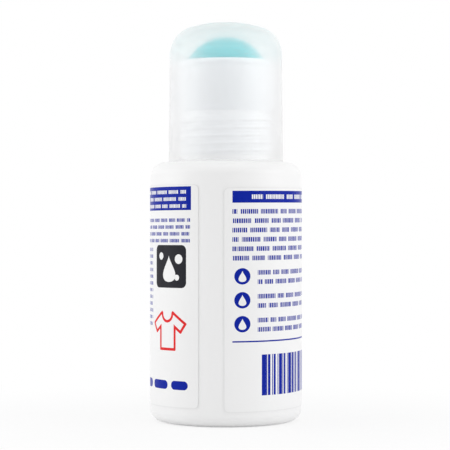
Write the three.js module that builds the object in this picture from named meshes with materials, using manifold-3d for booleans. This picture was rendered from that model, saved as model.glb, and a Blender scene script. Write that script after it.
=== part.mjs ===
// Roll-on stain remover: a blow-moulded bottle with a wrap-around label, a snap-in ball housing,
// a ball that rolls freely in it and a frosted screw cap over the lot. Millimetres, +Z up, with the
// origin at the centre of the foot and the label's seam facing -Y.
import * as THREE from "three";
import { mergeVertices } from "three/addons/utils/BufferGeometryUtils.js";
import Module from "manifold-3d";

// Bottle body
const BODY_DIAMETER = 42;
const BODY_HEIGHT = 72;
const BODY_WALL = 1.2;
const SHOULDER_WIDTH = 5;
const SHOULDER_DROP = 3.8;
const HEEL_RADIUS = 3.4;
const FOOT_WIDTH = 3;
const PUSH_UP = 2;

// Neck
const NECK_HEIGHT = 14;
const NECK_WALL = 1.5;
const NECK_FILLET = 0.8;
const NECK_LIP_RADIUS = 0.4;

// Ball and the housing that holds it
const BALL_DIAMETER = 24;
const BALL_CLEARANCE = 0.25;
const BALL_RISE = 8.6;
const RIM_RISE = 5.2;
const RIM_RADIUS = 1.2;
const RIM_BAND = 1.7;
const RIM_GROOVE = 0.25;
const CUP_WALL = 1.25;
const CUP_FLOOR = 1.3;
const FEED_DIAMETER = 12;
const FEED_SLOTS = 6;
const FEED_SLOT_WIDTH = 1.6;
const FEED_SLOT_REACH = 2;
const PLUG_LENGTH = 9;
const PLUG_WALL = 1.2;
const PLUG_CHAMFER = 0.7;
const BEAD_DEPTH = 0.5;
const BEAD_DROP = 5;

// Cap
const CAP_WALL = 1.25;
const CAP_DRAFT = 0.4;
const CAP_CORNER_RADIUS = 7.6;
const CROWN_RADIUS = 35;
const CROWN_GAP = 2.7;

// Label
const LABEL_THICKNESS = 0.12;
const LABEL_SEAM = 6.9;
const LABEL_CORNER = 1.4;
const LABEL_HEEL_MARGIN = 0.8;
const LABEL_SHOULDER_MARGIN = 2.8;
const LABEL_SKEW = 0.9;

// Fill
const HEADSPACE = 6;

// Clearances between pieces that seat on or pass one another. The thread rooms are what the ridges on
// the neck and in the cap take up, so that the cap's own ridge passes the housing.
const SEAT_GAP = 0.3;
const PLUG_CLEARANCE = 0.3;
const NECK_THREAD_ROOM = 1.1;
const CAP_THREAD_ROOM = 1.25;
const LABEL_STANDOFF = 0.06;
const FILL_GAP = 0.3;

// Facets
const SEGMENTS = 64;
const BALL_SEGMENTS = 40;
const CHORD_TOLERANCE = 0.1;
const LEAST_ARC_STEPS = 2;
const WELD = 1e-4;

// Radii, worked outwards from the ball to the cap and inwards from the cup to the plug
const bodyRadius = BODY_DIAMETER / 2;
const ballRadius = BALL_DIAMETER / 2;
const socketRadius = ballRadius + BALL_CLEARANCE;
const cupRadius = socketRadius + CUP_WALL;
const capRadius = cupRadius + CAP_THREAD_ROOM + CAP_WALL;
const neckRadius = cupRadius - NECK_THREAD_ROOM;
const neckBore = neckRadius - NECK_WALL;
const plugRadius = neckBore - PLUG_CLEARANCE;

// Heights, worked upwards from the shoulder to the crown of the cap
const capFoot = BODY_HEIGHT + SEAT_GAP;
const neckTop = BODY_HEIGHT + NECK_HEIGHT;
const flangeHeight = neckTop + SEAT_GAP;
const beadHeight = flangeHeight - BEAD_DROP;
const ballHeight = flangeHeight + BALL_RISE;
const rimHeight = ballHeight + RIM_RISE;
const capTop = ballHeight + ballRadius + CROWN_GAP + CAP_WALL;

const wasm = await Module();
wasm.setup();

const { degToRad, lerp, radToDeg } = THREE.MathUtils;

// Profile points: r is the distance from the bottle's axis, z the height.
const at = (r, z) => new THREE.Vector2(r, z);

// An arc in chords that stay within the tolerance of it. With a second radius it is part of an ellipse.
function arc(r, z, radius, fromDegrees, toDegrees, upRadius = radius) {
  const [from, to] = [degToRad(fromDegrees), degToRad(toDegrees)];
  const chordAngle = 2 * Math.acos(Math.max(0, 1 - CHORD_TOLERANCE / radius));
  const steps = Math.max(LEAST_ARC_STEPS, Math.ceil(Math.abs(to - from) / chordAngle));
  return new THREE.EllipseCurve(r, z, radius, upRadius, from, to, to < from).getPoints(steps);
}

// A solid of revolution about the bottle's axis.
function revolve(profile) {
  const points = profile.filter((p, i) => i === 0 || p.distanceTo(profile[i - 1]) > WELD);
  return new THREE.LatheGeometry(points, SEGMENTS).rotateX(Math.PI / 2);
}

function toSolid(geometry) {
  const bare = geometry.clone();
  bare.deleteAttribute("normal");
  bare.deleteAttribute("uv");
  const welded = mergeVertices(bare, WELD);
  return new wasm.Manifold(
    new wasm.Mesh({
      numProp: 3,
      vertProperties: welded.attributes.position.array,
      triVerts: new Uint32Array(welded.index.array),
    }),
  );
}

function toGeometry(solid) {
  const { numProp, numVert, vertProperties, triVerts } = solid.getMesh();
  const positions = new Float32Array(3 * numVert);
  for (let i = 0; i < numVert; i++) {
    positions.set(vertProperties.subarray(i * numProp, i * numProp + 3), 3 * i);
  }
  const geometry = new THREE.BufferGeometry();
  geometry.setAttribute("position", new THREE.BufferAttribute(positions, 3));
  geometry.setIndex(new THREE.BufferAttribute(triVerts, 1));
  geometry.computeVertexNormals();
  return geometry;
}

// The bottle's foot and heel, from the axis to the side wall, at a depth under the outer skin. The
// base is pushed up, so that the bottle stands on a ring.
function footProfile(depth) {
  const footOuter = bodyRadius - HEEL_RADIUS;
  const footInner = footOuter - FOOT_WIDTH;
  const baseRadius = (footInner ** 2 + PUSH_UP ** 2) / (2 * PUSH_UP);
  const baseSweep = radToDeg(Math.asin(footInner / baseRadius));
  return [
    ...arc(0, PUSH_UP - baseRadius + depth, baseRadius, 90, 90 - baseSweep),
    ...arc(footOuter, HEEL_RADIUS, HEEL_RADIUS - depth, -90, 0),
  ];
}

// The bottle's shoulder, a quarter of an ellipse from the side wall, at a depth under the outer skin.
function shoulderProfile(depth) {
  const r = bodyRadius - SHOULDER_WIDTH;
  return arc(r, BODY_HEIGHT - SHOULDER_DROP, SHOULDER_WIDTH - depth, 0, 90, SHOULDER_DROP - depth);
}

// A half-round bead on the radius r, from below upwards.
const beadProfile = (r, depth) => arc(r, beadHeight, depth, -90, 90);

function makeBottle() {
  const ceiling = BODY_HEIGHT - BODY_WALL;
  return revolve([
    ...footProfile(0),
    ...shoulderProfile(0),
    ...arc(neckRadius + NECK_FILLET, BODY_HEIGHT + NECK_FILLET, NECK_FILLET, 270, 180),
    ...arc(neckRadius - NECK_LIP_RADIUS, neckTop - NECK_LIP_RADIUS, NECK_LIP_RADIUS, 0, 90),
    at(neckBore, neckTop),
    ...beadProfile(neckBore, BEAD_DEPTH).reverse(),
    ...arc(neckBore + NECK_FILLET, ceiling + NECK_FILLET, NECK_FILLET, 180, 270),
    ...shoulderProfile(BODY_WALL).reverse(),
    ...footProfile(BODY_WALL).reverse(),
  ]);
}

function makeFill() {
  const depth = BODY_WALL + FILL_GAP;
  const level = BODY_HEIGHT - BODY_WALL - HEADSPACE;
  return revolve([...footProfile(depth), at(bodyRadius - depth, level), at(0, level)]);
}

// The label is a sheet bent round the side wall. Its stations run along it from the end on the seam's
// +X side, closer together in the rounded corners, and its far end sits higher by the skew.
function makeLabel() {
  const inner = bodyRadius + LABEL_STANDOFF;
  const outer = inner + LABEL_THICKNESS;
  const length = 2 * Math.PI * bodyRadius - LABEL_SEAM;
  const bottom = HEEL_RADIUS + LABEL_HEEL_MARGIN;
  const top = BODY_HEIGHT - SHOULDER_DROP - LABEL_SHOULDER_MARGIN - LABEL_SKEW;
  const corner = arc(LABEL_CORNER, 0, LABEL_CORNER, 180, 90).map((p) => p.x);
  const straight = length - 2 * LABEL_CORNER;
  const steps = Math.ceil((SEGMENTS * straight) / (2 * Math.PI * bodyRadius));
  const middle = Array.from({ length: steps - 1 }, (_, i) => LABEL_CORNER + (straight * (i + 1)) / steps);
  const stations = [...corner, ...middle, ...corner.map((u) => length - u).reverse()];
  const points = stations.flatMap((u) => {
    const intoCorner = Math.max(0, LABEL_CORNER - Math.min(u, length - u));
    const cut = LABEL_CORNER - Math.sqrt(Math.max(0, LABEL_CORNER ** 2 - intoCorner ** 2));
    const lift = lerp(0, LABEL_SKEW, u / length);
    const angle = (LABEL_SEAM / 2 + u) / bodyRadius;
    const [low, high] = [bottom + cut + lift, top - cut + lift];
    const edge = (radius, z) => new THREE.Vector3(radius * Math.sin(angle), -radius * Math.cos(angle), z);
    return [edge(inner, low), edge(inner, high), edge(outer, high), edge(outer, low)];
  });
  return new THREE.BufferGeometry().setFromPoints(points).setIndex(stripIndex(stations.length));
}

// Faces over stations of four points each: the sides between them, then both ends.
function stripIndex(stations) {
  const index = [];
  for (let i = 0; i + 1 < stations; i++) {
    for (let k = 0; k < 4; k++) {
      const [a, b] = [4 * i + k, 4 * i + ((k + 1) % 4)];
      index.push(a, b, a + 4, b, b + 4, a + 4);
    }
  }
  const last = 4 * (stations - 1);
  index.push(0, 2, 1, 0, 3, 2, last, last + 1, last + 2, last, last + 2, last + 3);
  return index;
}

// The housing: a cup that holds the ball past its widest part, over a plug that snaps into the neck.
// Slots round the feed hole let the liquid reach the ball where it rests on its seat.
function makeHousing() {
  const feedRadius = FEED_DIAMETER / 2;
  const undersideRadius = socketRadius + CUP_FLOOR;
  const plugBore = plugRadius - PLUG_WALL;
  const plugFoot = flangeHeight - PLUG_LENGTH;
  const bandFoot = rimHeight - RIM_BAND;
  const ballArc = (radius, fromDegrees, toDegrees) => arc(0, ballHeight, radius, fromDegrees, toDegrees);
  const angleBelow = (r, radius) => -radToDeg(Math.acos(r / radius));
  const rimAngle = radToDeg(Math.asin(RIM_RISE / socketRadius));
  const underside = ballArc(
    undersideRadius,
    angleBelow(feedRadius, undersideRadius),
    angleBelow(plugBore, undersideRadius),
  );
  const cup = revolve([
    ...underside,
    at(plugBore, plugFoot),
    at(plugRadius - PLUG_CHAMFER, plugFoot),
    at(plugRadius, plugFoot + PLUG_CHAMFER),
    ...beadProfile(plugRadius, BEAD_DEPTH),
    at(plugRadius, flangeHeight),
    at(cupRadius, flangeHeight),
    at(cupRadius, bandFoot - RIM_GROOVE),
    at(cupRadius - RIM_GROOVE, bandFoot),
    at(cupRadius, bandFoot + RIM_GROOVE),
    ...arc(cupRadius - RIM_RADIUS, rimHeight - RIM_RADIUS, RIM_RADIUS, 0, 90),
    ...ballArc(socketRadius, rimAngle, angleBelow(feedRadius, socketRadius)),
    underside[0],
  ]);
  const slotLength = feedRadius + FEED_SLOT_REACH;
  const slotHeight = ballHeight - Math.sqrt(socketRadius ** 2 - feedRadius ** 2);
  const slotBox = new THREE.BoxGeometry(slotLength, FEED_SLOT_WIDTH, 4 * CUP_FLOOR);
  slotBox.translate(slotLength / 2, 0, slotHeight);
  let housing = toSolid(cup);
  for (let i = 0; i < FEED_SLOTS; i++) {
    housing = housing.subtract(toSolid(slotBox.clone().rotateZ((2 * Math.PI * i) / FEED_SLOTS)));
  }
  return toGeometry(housing);
}

// The ball's poles lie on X, the axis that it is shown rolling about.
function makeBall() {
  const ball = new THREE.SphereGeometry(ballRadius, BALL_SEGMENTS, BALL_SEGMENTS / 2);
  return ball.rotateZ(Math.PI / 2).translate(0, 0, ballHeight);
}

// The cap's skin at a depth under its outer face, from its foot to the crown on the axis.
function capProfile(depth) {
  const crownHeight = capTop - CROWN_RADIUS;
  const cornerRadius = capRadius - CAP_DRAFT - CAP_CORNER_RADIUS;
  const cornerRise = Math.sqrt((CROWN_RADIUS - CAP_CORNER_RADIUS) ** 2 - cornerRadius ** 2);
  const blend = radToDeg(Math.atan2(cornerRise, cornerRadius));
  return [
    at(capRadius - depth, capFoot),
    ...arc(cornerRadius, crownHeight + cornerRise, CAP_CORNER_RADIUS - depth, 0, blend),
    ...arc(0, crownHeight, CROWN_RADIUS - depth, blend, 90),
  ];
}

const makeCap = () => revolve([...capProfile(CAP_WALL).reverse(), ...capProfile(0)]);

const plastic = (color, roughness, opacity = 1) =>
  new THREE.MeshStandardMaterial({ color, roughness, metalness: 0, opacity, transparent: opacity < 1 });

const bottleWhite = plastic(0xf1f2f2, 0.38);
const labelFilm = plastic(0xf8f8f7, 0.3);
const housingWhite = plastic(0xf2f4f5, 0.4);
const ballTeal = plastic(0x5ecfd6, 0.25);
const capFrosted = plastic(0xf0f4f4, 0.3, 0.45);
const fillClear = plastic(0xe9f1f2, 0.1, 0.6);

function piece(name, geometry, material) {
  const mesh = new THREE.Mesh(geometry, material);
  mesh.name = name;
  return mesh;
}

const stainRoller = new THREE.Group();
stainRoller.add(
  piece("bottle", makeBottle(), bottleWhite),
  piece("wrap_label", makeLabel(), labelFilm),
  piece("liquid_fill", makeFill(), fillClear),
  piece("ball_housing", makeHousing(), housingWhite),
  piece("roller_ball", makeBall(), ballTeal),
  piece("screw_cap", makeCap(), capFrosted),
);

export default stainRoller;
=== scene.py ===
"""A roll-on stain remover, dressed over its CAD frame.

The bottle stands on z = 0 with its axis on Z, and the label's seam faces -Y. Sizes are in metres;
the print on the label is laid out in millimetres along and up the label.
"""

import math
from collections import namedtuple

import bmesh
import bpy
from bpy.props import FloatProperty, FloatVectorProperty, IntProperty, PointerProperty
from bpy.types import Operator, Panel, PropertyGroup
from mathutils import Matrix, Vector


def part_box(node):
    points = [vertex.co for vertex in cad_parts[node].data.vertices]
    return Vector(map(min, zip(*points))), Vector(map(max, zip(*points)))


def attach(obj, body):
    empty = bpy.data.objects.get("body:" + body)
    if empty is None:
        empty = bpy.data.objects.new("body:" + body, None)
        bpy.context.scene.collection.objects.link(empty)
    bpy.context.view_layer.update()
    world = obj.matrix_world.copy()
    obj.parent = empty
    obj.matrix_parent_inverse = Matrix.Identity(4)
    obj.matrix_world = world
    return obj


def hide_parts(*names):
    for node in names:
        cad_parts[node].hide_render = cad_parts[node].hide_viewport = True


bl_info = {
    "name": "Roll-on Stain Remover",
    "version": (1, 0, 0),
    "blender": (4, 5, 0),
    "location": "View3D > Sidebar > Stain Roller",
    "description": "Builds the looks of a roll-on stain remover over its CAD frame",
    "category": "Object",
}

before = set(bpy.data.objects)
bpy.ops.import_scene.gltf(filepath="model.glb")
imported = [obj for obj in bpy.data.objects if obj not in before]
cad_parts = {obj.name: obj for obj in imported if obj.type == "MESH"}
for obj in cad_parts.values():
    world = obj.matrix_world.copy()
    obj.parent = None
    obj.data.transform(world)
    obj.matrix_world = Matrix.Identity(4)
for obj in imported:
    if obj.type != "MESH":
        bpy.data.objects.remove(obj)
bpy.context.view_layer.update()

MM = 0.001
TURN = 2 * math.pi
ON_AXIS = 1e-7
SAME_POINT = 1e-6
WHITE = (1.0, 1.0, 1.0, 1.0)

# Fineness of the meshes
SEGMENTS = 160
ARC_STEP_DEGREES = 5
THREAD_ROW = 0.1 * MM
SHARP_ANGLE = math.radians(32)
LABEL_STATIONS = 320
LABEL_CORNER_STEP_DEGREES = 6
BALL_CUTS = 48
FLOOR_SIDES = 96

# Where the CAD frame says that the pieces are
BOTTLE_LOW, BOTTLE_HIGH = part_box("bottle")
LABEL_LOW, LABEL_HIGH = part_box("wrap_label")
_, LIQUID_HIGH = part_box("liquid_fill")
HOUSING_LOW, HOUSING_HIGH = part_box("ball_housing")
BALL_LOW, BALL_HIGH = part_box("roller_ball")
_, CAP_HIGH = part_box("screw_cap")

LABEL_UV = "label_sheet"
LABEL_SKEW = 0.9 * MM

# How far off the neck's radius a point may lie and still carry the thread
NECK_REACH = 0.05 * MM

# Height over which the bottle's colour changes above its shoulder, into the neck's colour, which is
# painted lighter to lift the shade under the cap
COLOUR_CHANGE = 2 * MM

# The room: floor, soft boxes and the point that they face
FLOOR_RADIUS = 2.0
FLOOR_PAINT = (0.9, 0.9, 0.9, 1.0)
FLOOR_FADE = (0.03, 0.12)
FLOOR_NEAR_WHITE = 0.78
LAMP_WIDTH = 0.5
LAMP_HEIGHT = 0.6
SIDE_LAMP_AWAY = 0.6
SIDE_LAMP_UP = Vector((0.0, 0.0, 0.16))
TOP_LAMP_PLACE = Vector((0.0, 0.0, 0.75))
LIT_POINT = Vector((0.0, 0.0, 0.055))
NEAREST_SEEN = 10 * MM

# Sockets of a Mix node that blends colours, and kinds of group inputs for Python's types
MIX_FACTOR, MIX_FIRST, MIX_SECOND, MIX_RESULT = 0, 6, 7, 2
SOCKET_KINDS = {
    float: "NodeSocketFloat",
    int: "NodeSocketInt",
    bpy.types.Material: "NodeSocketMaterial",
}


def length(name, description, metres):
    """A size that a user may change."""
    return FloatProperty(
        name=name,
        description=description,
        default=metres,
        min=0,
        precision=5,
        subtype="DISTANCE",
        unit="LENGTH",
    )


def angle(name, description, degrees):
    """An angle that a user may change."""
    return FloatProperty(
        name=name,
        description=description,
        default=math.radians(degrees),
        subtype="ANGLE",
        unit="ROTATION",
    )


def number(name, description, value, unit="NONE"):
    """Any other number that a user may change."""
    return FloatProperty(name=name, description=description, default=value, min=0, unit=unit)


def colour(name, description, red, green, blue):
    """A colour that a user may change."""
    return FloatVectorProperty(
        name=name,
        description=description,
        default=(red, green, blue),
        size=3,
        min=0,
        max=1,
        subtype="COLOR",
    )


class BottleSizes(PropertyGroup):
    """Sizes of the blow-moulded bottle and of what it holds."""

    diameter: length("Diameter", "Across the side wall", BOTTLE_HIGH.x - BOTTLE_LOW.x)
    shoulder_height: length("Shoulder height", "From the table to the foot of the neck", 72 * MM)
    wall: length("Wall", "Thickness of the blown wall", 1.2 * MM)
    shoulder_width: length("Shoulder width", "How far the rounded shoulder reaches in", 5 * MM)
    shoulder_drop: length("Shoulder drop", "How far the rounded shoulder reaches down", 3.8 * MM)
    heel_radius: length("Heel radius", "Rounding between side wall and foot", 3.4 * MM)
    foot_width: length("Foot width", "Width of the ring that the bottle stands on", 3 * MM)
    push_up: length("Push-up", "How far the base is pushed up inside the foot", 2 * MM)
    neck_top: length("Neck top", "From the table to the mouth of the neck", BOTTLE_HIGH.z)
    neck_radius: length("Neck radius", "Outside of the neck, under the thread", 12.4 * MM)
    neck_wall: length("Neck wall", "Thickness of the neck's wall", 1.5 * MM)
    neck_fillet: length("Neck fillet", "Rounding at the foot of the neck", 0.8 * MM)
    lip_radius: length("Lip radius", "Rounding of the mouth's outer edge", 0.15 * MM)
    groove_depth: length("Snap groove", "Depth of the groove that the housing snaps into", 0.5 * MM)
    groove_height: length("Groove height", "From the table to the snap groove", 81.3 * MM)
    parting_line: length("Parting line", "Half the width of the mould's parting line", 0.12 * MM)
    liquid_level: length("Liquid level", "From the table to the liquid's surface", LIQUID_HIGH.z)
    liquid_gap: length("Liquid gap", "Between the liquid and the wall", 0.3 * MM)
    meniscus: length("Meniscus", "How far the liquid dips away from the wall", 0.7 * MM)


class ThreadSizes(PropertyGroup):
    """Sizes of the screw thread on the neck and in the cap."""

    pitch: length("Pitch", "Rise of the thread in one turn", 2.1 * MM)
    root_width: length("Root width", "Width of the ridge at the wall", 1.3 * MM)
    crest_width: length("Crest width", "Width of the ridge at its crest", 0.7 * MM)
    run_out: number("Run-out", "Part of a turn over which the ridge fades", 0.15)
    neck_start: length("Neck thread", "Height at which the neck's ridge starts", 74.2 * MM)
    neck_turns: number("Neck turns", "Turns of the neck's ridge", 5.1)
    neck_crest: length("Neck crest", "Radius of the neck's crest", 13.0 * MM)
    cap_start: length("Cap thread", "Height at which the cap's ridge starts", 73.35 * MM)
    cap_turns: number("Cap turns", "Turns of the cap's ridge", 5.8)
    cap_crest: length("Cap crest", "Radius of the cap's crest", 13.8 * MM)


class RollerSizes(PropertyGroup):
    """Sizes of the ball and of the housing that holds it."""

    ball_diameter: length("Ball", "Across the ball", BALL_HIGH.z - BALL_LOW.z)
    clearance: length("Clearance", "Between the ball and its socket", 0.25 * MM)
    ball_weld: length("Ball weld", "Depth of the fine weld line round the ball", 0.02 * MM)
    weld_width: length("Weld width", "Half the width of that line", 0.3 * MM)
    cup_radius: length("Cup radius", "Outside of the cup", HOUSING_HIGH.x)
    cup_floor: length("Cup floor", "Thickness of the cup's floor", 1.3 * MM)
    flange_height: length("Flange height", "From the table to the cup's underside", 86.02 * MM)
    flange_inset: length("Flange inset", "How far the cup's lower edge leans in", 1.1 * MM)
    flange_lead: length("Flange lead", "Height over which that edge leans in", 2.2 * MM)
    rim_radius: length("Rim radius", "Rounding of the rim's outer edge", 1.2 * MM)
    rim_band: length("Rim band", "Height of the band round the rim", 1.7 * MM)
    rim_groove: length("Rim groove", "Depth of the groove under that band", 0.25 * MM)
    plug_radius: length("Plug radius", "Outside of the plug in the neck", 10.6 * MM)
    plug_wall: length("Plug wall", "Thickness of the plug's wall", 1.2 * MM)
    plug_chamfer: length("Plug chamfer", "Lead-in at the foot of the plug", 0.7 * MM)
    bead_depth: length("Snap bead", "How far the plug's bead stands out", 0.5 * MM)
    feed_diameter: length("Feed hole", "Across the hole under the ball", 12 * MM)
    slot_count: IntProperty(name="Slots", description="Feed slots round the hole", default=6, min=1)
    slot_width: length("Slot width", "Width of a feed slot", 1.6 * MM)
    slot_reach: length("Slot reach", "How far a slot runs out from the feed hole", 2 * MM)


class CapSizes(PropertyGroup):
    """Sizes of the frosted screw cap."""

    foot_radius: length("Foot radius", "Outside of the cap at its foot", CAP_HIGH.x)
    foot_height: length("Foot height", "From the table to the cap's foot", 72.05 * MM)
    top: length("Top", "From the table to the crown", CAP_HIGH.z)
    wall: length("Wall", "Thickness of the cap", 1.25 * MM)
    draft: length("Draft", "How far the side leans in towards the crown", 0.4 * MM)
    corner_radius: length("Corner radius", "Rounding between side and crown", 7.6 * MM)
    crown_radius: length("Crown radius", "Radius of the domed crown", 35 * MM)
    foot_rounding: length("Foot rounding", "Rounding of the cap's lower edge", 0.15 * MM)


class LabelSizes(PropertyGroup):
    """Sizes of the film label round the bottle."""

    outer_radius: length("Outer radius", "Outside of the label", LABEL_HIGH.x)
    thickness: length("Thickness", "Thickness of the film", 0.12 * MM)
    seam: length("Seam", "Open width between the label's ends", 6.9 * MM)
    corner: length("Corner", "Rounding of the label's corners", 1.4 * MM)
    skew: length("Skew", "How much higher the label's far end sits", LABEL_SKEW)
    bottom: length("Bottom", "From the table to the label's lower edge", LABEL_LOW.z)
    top: length("Top", "From the table to the near end's upper edge", LABEL_HIGH.z - LABEL_SKEW)


class Finishes(PropertyGroup):
    """Colours of the plastics, the liquid and the print."""

    bottle: colour("Bottle", "White polyethylene of the bottle", 0.915, 0.915, 0.915)
    # The neck's colour is painted lighter and bluer than the bottle's, to lift the shade that falls on
    # the neck inside the cap
    neck: colour("Neck", "The bottle's thinner, cooler neck", 0.952, 0.97, 0.986)
    housing: colour("Housing", "White polyethylene of the housing", 0.874, 0.9, 0.922)
    ball: colour("Ball", "Teal polypropylene of the ball", 0.1, 0.568, 0.612)
    cap: colour("Cap", "Frosted polypropylene of the cap", 0.91, 0.905, 0.903)
    # The crown's colour is painted lighter and warmer than the side's: a painted highlight for light
    # from above, which also offsets the teal light off the ball
    cap_crown_lit: colour("Cap crown", "The cap's thicker, milkier crown", 0.992, 0.966, 0.958)
    liquid: colour("Liquid", "Clear liquid", 0.93, 0.97, 0.98)
    film: colour("Film", "White film of the label", 0.92, 0.92, 0.92)
    ink_blue: colour("Blue ink", "Bars, stripes and text lines", 0.002, 0.017, 0.34)
    ink_red: colour("Red ink", "Garment outline", 0.78, 0.028, 0.03)
    ink_dark: colour("Dark ink", "Tile", 0.016, 0.016, 0.022)
    ink_teal: colour("Teal ink", "Bubbles on the front", 0.06, 0.55, 0.63)


class StudioSizes(PropertyGroup):
    """Camera and light."""

    camera_distance: length("Camera distance", "From the bottle's axis", 490 * MM)
    camera_height: length("Camera height", "Above the table", 55.6 * MM)
    camera_azimuth: angle("Camera azimuth", "Turned from the seam's side towards +X", 11)
    aim_height: length("Aim height", "Where the view's centre meets the axis", 54.42 * MM)
    aim_left: length("Aim left", "How far left of the axis the view's centre lies", 0.26 * MM)
    focal_length: number("Focal length", "In mm, on a 36 mm sensor", 140.4, unit="CAMERA")
    side_power: number("Side lamps", "Watts of each side lamp", 1.42, unit="POWER")
    light_turn: angle("Light turn", "Of both side lamps towards the view's left", 6)
    side_angle: angle("Side angle", "Of the lamps to either side of the view", 78)
    top_power: number("Top lamp", "Watts of the lamp overhead", 0.85, unit="POWER")
    ambient: number("Ambient", "Strength of the even light", 0.685)


class StainRollerSettings(PropertyGroup):
    """Everything that a user may change."""

    bottle: PointerProperty(type=BottleSizes)
    thread: PointerProperty(type=ThreadSizes)
    roller: PointerProperty(type=RollerSizes)
    cap: PointerProperty(type=CapSizes)
    label: PointerProperty(type=LabelSizes)
    finish: PointerProperty(type=Finishes)
    studio: PointerProperty(type=StudioSizes)


def opaque(rgb, shade=1.0):
    """A colour socket's value, with a share of the colour's lightness."""
    return (rgb[0] * shade, rgb[1] * shade, rgb[2] * shade, 1.0)


def sum_of(operation):
    """A method that puts a Math node after a wire."""

    def method(wire, *others):
        return wire.math(operation, *others)

    return method


class Wire:
    """An output socket that Python sums can use: each sum adds a Math node to the board."""

    def __init__(self, board, socket):
        self.board = board
        self.socket = socket

    def math(self, operation, *others):
        return self.board.sum(operation, self, *others)

    __add__ = __radd__ = sum_of("ADD")
    __sub__ = sum_of("SUBTRACT")
    __mul__ = __rmul__ = __and__ = sum_of("MULTIPLY")
    __truediv__ = sum_of("DIVIDE")
    __lt__ = sum_of("LESS_THAN")
    __gt__ = sum_of("GREATER_THAN")
    __or__ = sum_of("MAXIMUM")
    __abs__ = sum_of("ABSOLUTE")

    def __rsub__(self, other):
        return self.board.sum("SUBTRACT", other, self)

    def clamped(self):
        return self.board.wire("ShaderNodeClamp", {}, {"Value": self})

    def eased(self, start, end):
        """0 before start, 1 after end, and a smooth step between them."""
        settings = {"interpolation_type": "SMOOTHSTEP"}
        inputs = {"Value": self, "From Min": start, "From Max": end}
        return self.board.wire("ShaderNodeMapRange", settings, inputs)


class Board:
    """A node tree being laid out, of a material, the world or Geometry Nodes alike."""

    def __init__(self, tree):
        self.tree = tree

    def node(self, kind, settings=None, inputs=None):
        """Adds a node. Its settings come first, because they can change which sockets it has."""
        made = self.tree.nodes.new(kind)
        for name, value in (settings or {}).items():
            setattr(made, name, value)
        self.feed(made, inputs or {})
        return made

    def feed(self, node, inputs):
        """Plugs wires, sockets or plain values into a node's inputs."""
        for key, value in inputs.items():
            self.plug(node.inputs[key], value)

    def plug(self, socket, value):
        source = value.socket if isinstance(value, Wire) else value
        if isinstance(source, bpy.types.NodeSocket):
            self.tree.links.new(source, socket)
        else:
            socket.default_value = source

    def wire(self, kind, settings=None, inputs=None, output=0):
        return Wire(self, self.node(kind, settings, inputs).outputs[output])

    def sum(self, operation, *inputs):
        return self.wire("ShaderNodeMath", {"operation": operation}, dict(enumerate(inputs)))

    def split(self, vector):
        parts = self.node("ShaderNodeSeparateXYZ", {}, {0: vector})
        return [Wire(self, part) for part in parts.outputs]

    def join(self, x, y, z):
        return self.wire("ShaderNodeCombineXYZ", {}, {0: x, 1: y, 2: z})

    def blend(self, factor, first, second):
        """A colour between two others."""
        inputs = {MIX_FACTOR: factor, MIX_FIRST: first, MIX_SECOND: second}
        return self.wire("ShaderNodeMix", {"data_type": "RGBA"}, inputs, MIX_RESULT)

    def shades(self, factor, rgb, dim, bright):
        """A colour between two shades of itself."""
        return self.blend(factor, opaque(rgb, dim), opaque(rgb, bright))

    def mix(self, factor, first, second):
        """A shader node between two others."""
        inputs = {0: factor, 1: first.outputs[0], 2: second.outputs[0]}
        return self.node("ShaderNodeMixShader", {}, inputs)

    def noise(self, vector, scale, detail=2.0):
        return self.wire("ShaderNodeTexNoise", {}, {"Vector": vector, "Scale": scale, "Detail": detail})

    def bump(self, height, strength, distance):
        inputs = {"Height": height, "Strength": strength, "Distance": distance}
        return self.wire("ShaderNodeBump", {}, inputs)


def start_material(name, constants):
    """A material's board, its shader and its object coordinates, with the shader's constants set."""
    material = bpy.data.materials.new(name)
    material.use_nodes = True
    board = Board(material.node_tree)
    shader = material.node_tree.nodes["Principled BSDF"]
    board.feed(shader, constants)
    place = board.node("ShaderNodeTexCoord").outputs["Object"]
    return material, board, shader, place


def moulded_plastic(name, rgb, upper_rgb, change_height, roughness, seam):
    """Satin white polyethylene: cloudy tone, fine mould grain and a faint parting line.

    Its colour changes just above a height. On the bottle the upper colour is a painted lift: the neck
    is painted lighter and bluer than the bottle, against the shade that falls on it inside the cap. The
    seam is how far from the plane y = 0 the parting line reaches; 0 leaves it out.
    """
    material, board, shader, place = start_material(name, {"IOR": 1.5, "Specular IOR Level": 0.4})
    clouds = board.noise(place, scale=45.0, detail=3.0)
    grain = board.noise(place, scale=2600.0)
    flow = board.noise(place, scale=320.0, detail=4.0)
    relief = grain * 0.5 + flow * 0.35
    _, y, height = board.split(place)
    if seam > 0:
        line = 1 - abs(y).eased(0.0, seam)
        relief = relief + line * 2.0
    # On the bottle the upper colour is the neck's painted lift: lighter and bluer, against the shade
    # under the cap
    upper = height.eased(change_height, change_height + COLOUR_CHANGE)
    tones = [board.shades(clouds, tone, dim=0.985, bright=1.01) for tone in (rgb, upper_rgb)]
    looks = {
        "Base Color": board.blend(upper, *tones),
        "Roughness": roughness + (flow - 0.5) * 0.1 + (grain - 0.5) * 0.06,
        "Normal": board.bump(relief, strength=0.12, distance=0.05 * MM),
    }
    board.feed(shader, looks)
    return material


def teal_polish(rgb):
    """Polished teal plastic with faint swirls and a wet sheen that varies."""
    constants = {"IOR": 1.49, "Coat Roughness": 0.05}
    material, board, shader, place = start_material("ball_teal", constants)
    swirl = board.noise(place, scale=90.0, detail=4.0)
    polish = board.noise(place, scale=1900.0)
    looks = {
        "Base Color": board.shades(swirl, rgb, dim=0.94, bright=1.05),
        "Roughness": 0.2 + (swirl - 0.5) * 0.14,
        "Coat Weight": swirl.eased(0.35, 0.65) * 0.3,
        "Normal": board.bump(polish, strength=0.05, distance=0.02 * MM),
    }
    board.feed(shader, looks)
    return material


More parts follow.
